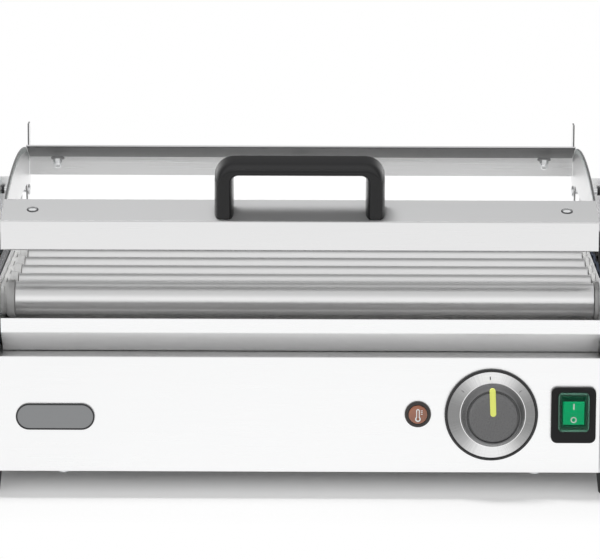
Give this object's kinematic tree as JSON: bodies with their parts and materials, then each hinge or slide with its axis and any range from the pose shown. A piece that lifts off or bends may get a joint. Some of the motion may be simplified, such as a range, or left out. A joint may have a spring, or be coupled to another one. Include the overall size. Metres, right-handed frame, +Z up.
{
  "type": "sausage roller grill",
  "caption": "Countertop roller grill: steel case, chain-driven heated rollers under a hinged glass lid, pull-out drip tray, dial, lamp and rocker switch.",
  "frame": {"origin": "centre of the bounding box on the plane that the feet stand on", "axes": "+X to the right seen from the front, +Y from the front panel to the back, +Z up"},
  "size_m": [0.52, 0.345, 0.2559],
  "materials": {
    "case_steel": "satin, fine horizontal brushing",
    "feet": "matte",
    "bearing_plates": "satin",
    "bushes": "matte, slightly translucent",
    "rollers": "bright, finely turned",
    "sprockets": "oiled",
    "gear_motor": "satin",
    "chain": "oiled",
    "elements": "heat-dulled",
    "live_wire": "matte",
    "neutral_wire": "matte",
    "terminal_block": "matte",
    "cable_gland": "matte",
    "tray_steel": "satin",
    "lid_steel": "satin, fine lengthwise brushing",
    "lid_glass": "clear, toughened",
    "handle": "satin black",
    "brackets": "satin",
    "pins": "bright",
    "hinge_bushes": "matte",
    "dial": "circular brushed, dark rim",
    "knob": "satin dark grey",
    "pointer": "satin",
    "thermostat": "satin",
    "lamp_bezel": "gloss",
    "lamp_lens": "clear amber",
    "switch_frame": "matte",
    "rocker": "gloss",
    "boot": "clear, soft",
    "badge": "satin, dark rim"
  },
  "bodies": {
    "case": {"base_pan": "case_steel", "front_panel": "case_steel", "rear_panel": "case_steel", "heat_shield": "case_steel", "left_side_housing": "case_steel", "right_side_housing": "case_steel", "foot_front_left": "feet", "foot_front_right": "feet", "foot_rear_left": "feet", "foot_rear_right": "feet", "left_bearing_plate": "bearing_plates", "right_bearing_plate": "bearing_plates", "left_bush_strip": "bushes", "right_bush_strip": "bushes", "gear_motor": "gear_motor", "drive_chain": "chain", "heating_elements": "elements", "live_wire": "live_wire", "neutral_wire": "neutral_wire", "terminal_block": "terminal_block", "cable_gland": "cable_gland", "left_hinge_bracket": "brackets", "right_hinge_bracket": "brackets", "left_hinge_pin": "pins", "right_hinge_pin": "pins", "left_hinge_bush": "hinge_bushes", "right_hinge_bush": "hinge_bushes", "dial_ring": "dial", "thermostat": "thermostat", "pilot_lamp_bezel": "lamp_bezel", "pilot_lamp_lens": "lamp_lens", "switch_frame": "switch_frame", "switch_boot": "boot", "badge": "badge"},
    "lid": {"lid_front_strip": "lid_steel", "lid_rear_strip": "lid_steel", "left_lid_cheek": "lid_steel", "right_lid_cheek": "lid_steel", "lid_glass": "lid_glass", "lid_handle": "handle"},
    "tray": {"drip_tray": "tray_steel"},
    "knob": {"control_knob": "knob", "knob_pointer": "pointer", "control_spindle": "pins"},
    "rocker": {"switch_rocker": "rocker"},
    "motor_output": {"motor_sprocket": "sprockets"},
    "roller_1": {"roller_1": "rollers", "roller_sprocket_1": "sprockets"},
    "roller_2": {"roller_2": "rollers", "roller_sprocket_2": "sprockets"},
    "roller_3": {"roller_3": "rollers", "roller_sprocket_3": "sprockets"},
    "roller_4": {"roller_4": "rollers", "roller_sprocket_4": "sprockets"},
    "roller_5": {"roller_5": "rollers", "roller_sprocket_5": "sprockets"},
    "roller_6": {"roller_6": "rollers", "roller_sprocket_6": "sprockets"},
    "roller_7": {"roller_7": "rollers", "roller_sprocket_7": "sprockets"}
  },
  "joints": [
    {"name": "lid_hinge", "type": "hinge", "parent": "case", "child": "lid", "pos_m": [0, 0.14055, 0.186], "axis": [-1, 0, 0], "range_deg": [0, 95]},
    {"name": "tray_slide", "type": "slide", "parent": "case", "child": "tray", "axis": [0, -1, 0], "range_m": [0, 0.26]},
    {"name": "knob_turn", "type": "hinge", "parent": "case", "child": "knob", "pos_m": [0.1449, -0.16745, 0.066], "axis": [0, 1, 0], "range_deg": [0, 270]},
    {"name": "rocker_tilt", "type": "hinge", "parent": "case", "child": "rocker", "pos_m": [0.2052, -0.15645, 0.069], "axis": [-1, 0, 0], "range_deg": [0, 12]},
    {"name": "roller_1_spin", "type": "hinge", "parent": "case", "child": "roller_1", "pos_m": [0, -0.11545, 0.145], "axis": [1, 0, 0], "continuous": true},
    {"name": "roller_2_spin", "type": "hinge", "parent": "case", "child": "roller_2", "pos_m": [0, -0.08045, 0.145], "axis": [1, 0, 0], "continuous": true},
    {"name": "roller_3_spin", "type": "hinge", "parent": "case", "child": "roller_3", "pos_m": [0, -0.04545, 0.145], "axis": [1, 0, 0], "continuous": true},
    {"name": "roller_4_spin", "type": "hinge", "parent": "case", "child": "roller_4", "pos_m": [0, -0.01045, 0.145], "axis": [1, 0, 0], "continuous": true},
    {"name": "roller_5_spin", "type": "hinge", "parent": "case", "child": "roller_5", "pos_m": [0, 0.02455, 0.145], "axis": [1, 0, 0], "continuous": true},
    {"name": "roller_6_spin", "type": "hinge", "parent": "case", "child": "roller_6", "pos_m": [0, 0.05955, 0.145], "axis": [1, 0, 0], "continuous": true},
    {"name": "roller_7_spin", "type": "hinge", "parent": "case", "child": "roller_7", "pos_m": [0, 0.09455, 0.145], "axis": [1, 0, 0], "continuous": true},
    {"name": "motor_spin", "type": "hinge", "parent": "case", "child": "motor_output", "pos_m": [-0.22, -0.01045, 0.078], "axis": [1, 0, 0], "continuous": true}
  ],
  "couplings": [
    {"joint": "roller_2_spin", "follows": "roller_1_spin", "ratio": 1},
    {"joint": "roller_3_spin", "follows": "roller_1_spin", "ratio": 1},
    {"joint": "roller_4_spin", "follows": "roller_1_spin", "ratio": 1},
    {"joint": "roller_5_spin", "follows": "roller_1_spin", "ratio": 1},
    {"joint": "roller_6_spin", "follows": "roller_1_spin", "ratio": 1},
    {"joint": "roller_7_spin", "follows": "roller_1_spin", "ratio": 1},
    {"joint": "motor_spin", "follows": "roller_1_spin", "ratio": 1}
  ]
}
